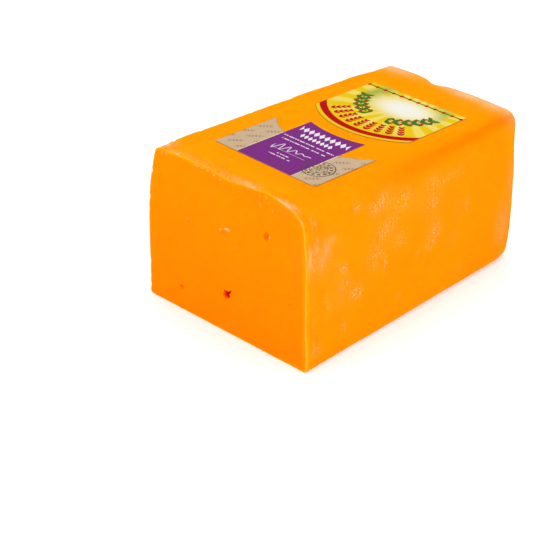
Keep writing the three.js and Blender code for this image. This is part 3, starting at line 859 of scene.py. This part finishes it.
def yellow_print():
    """Semi-matt printed paper. Inward runs from the bowed edge along lines to the bow's centre, and arc
    runs along the bow."""
    paper = Finish("yellow_paper", Specular_IOR_Level=0.01)
    x, y, _ = paper.apart(paper.place)
    u = x - (REAR_MIDDLE + SHIFT[0])
    v = y - (REAR_SIDE + SHIFT[1])
    centre = math.sqrt(REAR_BOW**2 - REAR_HALF**2)
    inward = REAR_BOW - (u * u + (v - centre) * (v - centre)).math("SQRT")
    angle = abs(u.math("ARCTAN2", centre - v))
    arc = angle * REAR_BOW

    def leaves(along, across, pitch, length, width, lean=0.7):
        """Pairs of leaves on both sides of a line, slanting forward along it."""
        rise = math.sqrt(1 - lean * lean)
        step, aside = along % pitch - pitch / 2, across - length * rise * 0.75
        lengthwise, widthwise = step * lean + aside * rise, step * rise - aside * lean
        return ((lengthwise / length) ** 2 + (widthwise / width) ** 2).ramp(1.2, 0.9)

    # A pale glow with rays around it, mossy to both sides
    gu, gv = u - GLOW_AT[0], v - GLOW_AT[1]
    glow = ((gu / GLOW_HALF[0]) ** 2 + (gv / GLOW_HALF[1]) ** 2).math("SQRT")
    rays = (gv.math("ARCTAN2", gu) * RAYS).math("SINE").ramp(-0.3, 0.3)
    meadow = abs(u - 1).ramp(10, 30) * inward.band(25, 50, 4) * (0.6 + paper.grain(5) * 0.7)
    colour = paper.mix(rays * glow.band(0.8, 2.2, 0.3) * 0.8, PRINT_YELLOW, PRINT_SUN)
    colour = paper.mix(meadow.capped(), colour, PRINT_MOSS)
    colour = paper.mix(glow.ramp(1.2, 0.6), colour, PRINT_CREAM)
    colour = paper.mix(glow.ramp(0.8, 0.3), colour, PRINT_WHITE)

    # Two twigs of paired leaves, with berries between them
    along = angle * (REAR_BOW - TWIG_LINE)
    twig = leaves(along, abs(inward - TWIG_LINE), TWIG_PACE, LEAF_LENGTH, LEAF_WIDTH)
    twig = (twig + inward.band(TWIG_LINE - TWIG_HALF, TWIG_LINE + TWIG_HALF)).capped()
    colour = paper.mix(twig * along.band(TWIG_FROM, TWIG_TO), colour, PRINT_GREEN)
    berry_u = (along + TWIG_PACE / 2) % TWIG_PACE - TWIG_PACE / 2
    berry_v = abs(inward - TWIG_LINE) - BERRY_ASIDE
    berry = (berry_u**2 + berry_v**2).math("SQRT").ramp(*BERRY)
    colour = paper.mix(berry * along.band(TWIG_FROM + 2, TWIG_TO), colour, PRINT_RED)

    # Ears that stand on the bow, over its band
    ear_u = (arc + EAR_PACE / 2) % EAR_PACE - EAR_PACE / 2
    ear = leaves(inward - EAR_FROM, abs(ear_u), GRAIN_PACE, GRAIN_LENGTH, GRAIN_WIDTH)
    ear = (ear + ear_u.band(-STALK_HALF, STALK_HALF)).capped()
    ear = ear * inward.band(EAR_FROM, EAR_TO) * arc.ramp(*EAR_REACH)
    colour = paper.mix((ear + inward.band(BAND_FROM, BAND_TO)).capped(), colour, PRINT_RED)

    # Beads between sprigs along the back, and painted shade along the cut edge
    bead_u = u % BEAD_PACE - BEAD_PACE / 2
    bead = (bead_u**2 + (v - BEAD_LINE) ** 2).math("SQRT")
    colour = paper.mix(bead.ramp(*BEAD), colour, PRINT_RED)
    side_u = abs(bead_u) - BEAD_SPRIG
    sprig = (side_u * side_u / 1.1 + (v - BEAD_LINE) ** 2 / 0.45).ramp(1.2, 0.9)
    colour = paper.mix(sprig, colour, PRINT_GREEN)
    to_side, to_back = REAR_HALF - abs(u), REAR_BACK - REAR_SIDE - v
    edge_shade = sum(edge.ramp(EDGE_SHADE_FROM, EDGE_SHADE_FULL) for edge in (to_side, inward, to_back))
    colour = paper.mix(edge_shade.capped(), colour, PAPER_EDGE_SHADE)
    paper.set(Base_Color=colour, Roughness=0.45 + paper.grain(1.5) * 0.1)
    paper.bump(paper.grain(0.5, 3.0) * 0.006)
    return paper.material


rear_x = stations(REAR_LEFT, REAR_RIGHT, LABEL_CORNER, LABEL_CORNER)
rear_back = REAR_BACK - rounded(rear_x, REAR_LEFT, REAR_RIGHT, LABEL_CORNER, LABEL_CORNER)
rear_front = bow(rear_x, REAR_MIDDLE, REAR_HALF, REAR_SIDE, REAR_BOW)
rear_sheet = sheet(rear_x, rear_front, rear_back, 46)
rear = make_label("rear_label", [rear_sheet], yellow_print())
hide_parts("label_rear")

# The front label. A sticker of brown kraft paper with two wings, die-cut so that a middle panel stands
# back between them. The panel is printed purple with pale lines, and a round stamp overlaps its edge.
FRONT_LEFT, FRONT_RIGHT, FRONT_FRONT, FRONT_TIP, FRONT_BOW = -38.4, 38.2, -67.5, -19, 55
FRONT_MIDDLE, FRONT_HALF = (FRONT_LEFT + FRONT_RIGHT) / 2, (FRONT_RIGHT - FRONT_LEFT) / 2
FRONT_RIGHT_CORNER = 3.2
PANEL_HALF, PANEL_BACK, PANEL_BOW = 20.7, -8.8, 66
KRAFT = (0.44, 0.325, 0.207, 1)
KRAFT_DARK = (0.35, 0.245, 0.145, 1)
KRAFT_INK = (0.24, 0.13, 0.06, 1)
PURPLE = (0.150, 0.021, 0.160, 1)
PANEL_TRIM = (0.58, 0.50, 0.23, 1)
PANEL_WHITE = (0.66, 0.61, 0.66, 1)
STAMP_INK = (0.06, 0.045, 0.045, 1)
STAMP = (24.9, 17.1)
STAMP_RINGS, STAMP_HUB = ((8.75, 9.5), (4.7, 5.2)), (0.7, 1.2)
STAMP_BEADS, STAMP_BEAD_COUNT, STAMP_PETALS = (6, 7.9), 14, 6
BUD_PACE, BUD_ASIDE, BUD_TURN = 1.9, 0.75, -38
TRIM = 0.65
WAVE_AT, WAVE_SIZE, WAVE_PACE, WAVE_HALF = 22.6, 3.7, 1.2, 13
SPRIG_PACE, SPRIG_HALF, SPRIG_TURN = (8.6, 12.2), 4.7, 58
LATTICE_TURN = -14


def kraft_print():
    """Uncoated kraft paper with fibres, and what is printed on it, measured from the middle of the
    label's front edge. A lattice of slanted sprigs covers it all, and the panel lies over them."""
    paper = Finish("kraft_paper", Specular_IOR_Level=0.01)
    x, y, _ = paper.apart(paper.place)
    u = x - (FRONT_MIDDLE + SHIFT[0])
    v = y - (FRONT_FRONT + SHIFT[1])

    def turned(p, q, degrees):
        """Two places measured along turned axes."""
        c, s = math.cos(math.radians(degrees)), math.sin(math.radians(degrees))
        return p * c + q * s, q * c - p * s

    fibre = paper.grain((0.35, 2.6, 1), 3.0)
    pulp = paper.grain(0.8, 3.0)
    colour = paper.mix((fibre * 0.5 + pulp * 0.5).ramp(0.4, 0.75) * 0.35, KRAFT, KRAFT_DARK)

    p, q = turned(u, v, LATTICE_TURN)
    p = (p + 2) % SPRIG_PACE[0] - SPRIG_PACE[0] / 2
    q = (q + 5) % SPRIG_PACE[1] - SPRIG_PACE[1] / 2
    along, off = turned(p, q, SPRIG_TURN)
    bud_u, bud_v = turned(along % BUD_PACE - BUD_PACE / 2, abs(off) - BUD_ASIDE, BUD_TURN)
    bud = (bud_u * bud_u / 0.13 + bud_v * bud_v / 0.75).ramp(1.3, 0.7)
    sprig = (bud + abs(off).ramp(0.3, 0.12)).capped() * abs(along).ramp(SPRIG_HALF, SPRIG_HALF - 0.4)
    colour = paper.mix(sprig * 0.75, colour, KRAFT_INK)

    panel = abs(u).ramp(PANEL_HALF + 0.05, PANEL_HALF - 0.05)
    trim = abs(u).ramp(PANEL_HALF + TRIM + 0.1, PANEL_HALF + TRIM - 0.1)
    colour = paper.mix(trim, colour, PANEL_TRIM)
    colour = paper.mix(panel, colour, PURPLE)

    def lozenges(height, half_height, half_width, pitch):
        """A row of slanted lozenges: the shares of their half sizes across and up sum to under 1."""
        slanted = u + (v - height) * 0.25
        across = abs(slanted % pitch - pitch / 2) / (pitch * 0.45)
        shape = (across + abs(v - height) / half_height).ramp(1.04, 0.96)
        return shape * abs(slanted).ramp(half_width + 0.1, half_width - 0.1)

    def small_dashes(height, half_width, half_height=0.42):
        """A row of dashes of uneven lengths: where a sine of a swaying pace isn't low."""
        dashes = ((u * 2.3 + (u * 0.71).math("SINE") * 2.2).math("SINE")).ramp(-0.75, -0.45)
        line = v.band(height - half_height, height + half_height)
        return dashes * line * abs(u).ramp(half_width, half_width - 0.2)

    # A wavy line, as thick where it is steep as where it is flat
    sway = u.ramp(WAVE_HALF, -WAVE_HALF) * WAVE_SIZE + 0.25
    stroke = v - WAVE_AT - sway * (u * WAVE_PACE).math("SINE") - u * 0.06
    steep = ((u * WAVE_PACE).math("COSINE") * sway * WAVE_PACE) ** 2 + 1
    flourish = abs(stroke / steep.math("SQRT")).ramp(0.42, 0.2)
    flourish = flourish * abs(u).ramp(WAVE_HALF + 0.2, WAVE_HALF)
    white = (lozenges(48.1, 3.2, 18, 4.0) + lozenges(41.2, 2.5, 12, 3.0)
             + small_dashes(35.1, 19) + small_dashes(31, 16.5) + flourish * 0.9
             + v.band(18.85, 19.1) * abs(u).ramp(12.5, 12.3) * 0.7
             + small_dashes(15, 4.5, 0.35) + small_dashes(12.2, 8, 0.35))
    colour = paper.mix((white * panel).capped() * 0.95, colour, PANEL_WHITE)

    # The stamp: rings, a circle of beads, and a flower of one line
    su, sv = u - STAMP[0], v - STAMP[1]
    r = (su * su + sv * sv).math("SQRT")
    turn = sv.math("ARCTAN2", su)
    rings = sum(r.band(*ring) for ring in (*STAMP_RINGS, STAMP_HUB))
    beads = r.band(*STAMP_BEADS) * (turn * STAMP_BEAD_COUNT).math("SINE").ramp(-0.3, 0)
    petals = abs(r - ((turn * STAMP_PETALS).math("COSINE") * 1.3 + 2.9)).ramp(0.6, 0.3)
    worn = paper.grain(1.3, 2.0).ramp(0.2, 0.5) * 0.3 + 0.7
    colour = paper.mix((rings + beads * 0.9 + petals).capped() * worn * 0.9, colour, STAMP_INK)

    def beyond(chord_half, chord_y, bow_radius):
        """Distance from a bowed back edge into the paper."""
        centre = chord_y - FRONT_FRONT + math.sqrt(bow_radius**2 - chord_half**2)
        return (u * u + (v - centre) * (v - centre)).math("SQRT") - bow_radius

    # Painted shade along the cut edges of the wings, the panel and the sides
    wing_back = beyond(FRONT_HALF, FRONT_TIP, FRONT_BOW).ramp(EDGE_SHADE_FROM, EDGE_SHADE_FULL) * (1 - panel)
    panel_back = beyond(PANEL_HALF, PANEL_BACK, PANEL_BOW).ramp(EDGE_SHADE_FROM, EDGE_SHADE_FULL)
    edge_shade = (FRONT_HALF - abs(u)).ramp(EDGE_SHADE_FROM, EDGE_SHADE_FULL) + v.ramp(EDGE_SHADE_FROM, EDGE_SHADE_FULL)
    edge_shade = edge_shade + wing_back + panel_back
    colour = paper.mix(edge_shade.capped() * 0.9, colour, PAPER_EDGE_SHADE)
    paper.set(Base_Color=colour, Roughness=0.8 - panel * 0.25)
    paper.bump((fibre + pulp) * 0.02 * (1 - panel * 0.7))
    return paper.material


wing_x = stations(FRONT_LEFT, FRONT_MIDDLE - PANEL_HALF, LABEL_CORNER, 0.001)
panel_x = np.linspace(FRONT_MIDDLE - PANEL_HALF, FRONT_MIDDLE + PANEL_HALF, 34)
far_x = stations(FRONT_MIDDLE + PANEL_HALF, FRONT_RIGHT, 0.001, FRONT_RIGHT_CORNER)
front_x = np.unique(np.round(np.concatenate([wing_x, panel_x, far_x]), 6))
front_front = FRONT_FRONT + rounded(front_x, FRONT_LEFT, FRONT_RIGHT, LABEL_CORNER, FRONT_RIGHT_CORNER)
front_bite = bow(front_x, FRONT_MIDDLE, FRONT_HALF, FRONT_TIP, FRONT_BOW)
panel_x = front_x[np.abs(front_x - FRONT_MIDDLE) < PANEL_HALF + 0.0005]
panel_bite = bow(panel_x, FRONT_MIDDLE, FRONT_HALF, FRONT_TIP, FRONT_BOW)
panel_back = bow(panel_x, FRONT_MIDDLE, PANEL_HALF, PANEL_BACK, PANEL_BOW)
front = make_label("front_label", [sheet(front_x, front_front, front_bite, 36),
                                   sheet(panel_x, panel_bite, panel_back, 20)],
                   kraft_print())
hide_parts("label_front")

# The studio: a pale floor that the block stands on, soft boxes above, to the right and in front, and
# a white surround that fills in the shadows.
FLOOR_SIZE = 12
FLOOR_WHITE = (0.9, 0.9, 0.9, 1)
FLOOR_GLOW = (0.108, 0.108, 0.108, 1)
FAR_GLOW, FAR_FROM, FAR_TO = (0.29, 0.29, 0.29, 1), 900, 1350
SURROUND = 0.79


def add_floor():
    """One square, far larger than the block, at its foot. Its glow rises with the distance from the
    block, as the lamps light it less there."""
    half = FLOOR_SIZE / 2
    mesh = bpy.data.meshes.new("floor")
    mesh.from_pydata([(-half, -half, 0), (half, -half, 0), (half, half, 0), (-half, half, 0)], [],
                     [(0, 1, 2, 3)])
    floor = bpy.data.objects.new("floor", mesh)
    bpy.context.scene.collection.objects.link(floor)
    paint = Finish("floor_paint", Base_Color=FLOOR_WHITE, Roughness=0.9, Specular_IOR_Level=0.0,
                   Emission_Strength=1.0)
    x, y, _ = paint.apart(paint.place)
    far = (x * x + y * y).math("SQRT").ramp(FAR_FROM, FAR_TO)
    paint.set(Emission_Color=paint.mix(far, FLOOR_GLOW, FAR_GLOW))
    mesh.materials.append(paint.material)


def add_soft_box(name, place, size, power):
    """A square lamp that faces the middle of the block."""
    data = bpy.data.lights.new(name, "AREA")
    data.energy = power
    data.size = size
    lamp = bpy.data.objects.new(name, data)
    lamp.location = place
    lamp.rotation_euler = (Vector(place) - Vector((0, 0, 0.05))).to_track_quat("Z", "Y").to_euler()
    bpy.context.scene.collection.objects.link(lamp)


add_floor()
add_soft_box("overhead", (-0.1, 0.1, 1.2), 1.0, 6)
add_soft_box("right", (1.1, -0.35, 0.55), 0.8, 8)
add_soft_box("front", (-0.5, -1.2, 0.6), 0.7, 4)
world = bpy.data.worlds.new("surround")
world.use_nodes = True
world.node_tree.nodes["Background"].inputs["Color"].default_value = (1, 1, 1, 1)
world.node_tree.nodes["Background"].inputs["Strength"].default_value = SURROUND
bpy.context.scene.world = world
bpy.context.scene.view_settings.view_transform = "Standard"
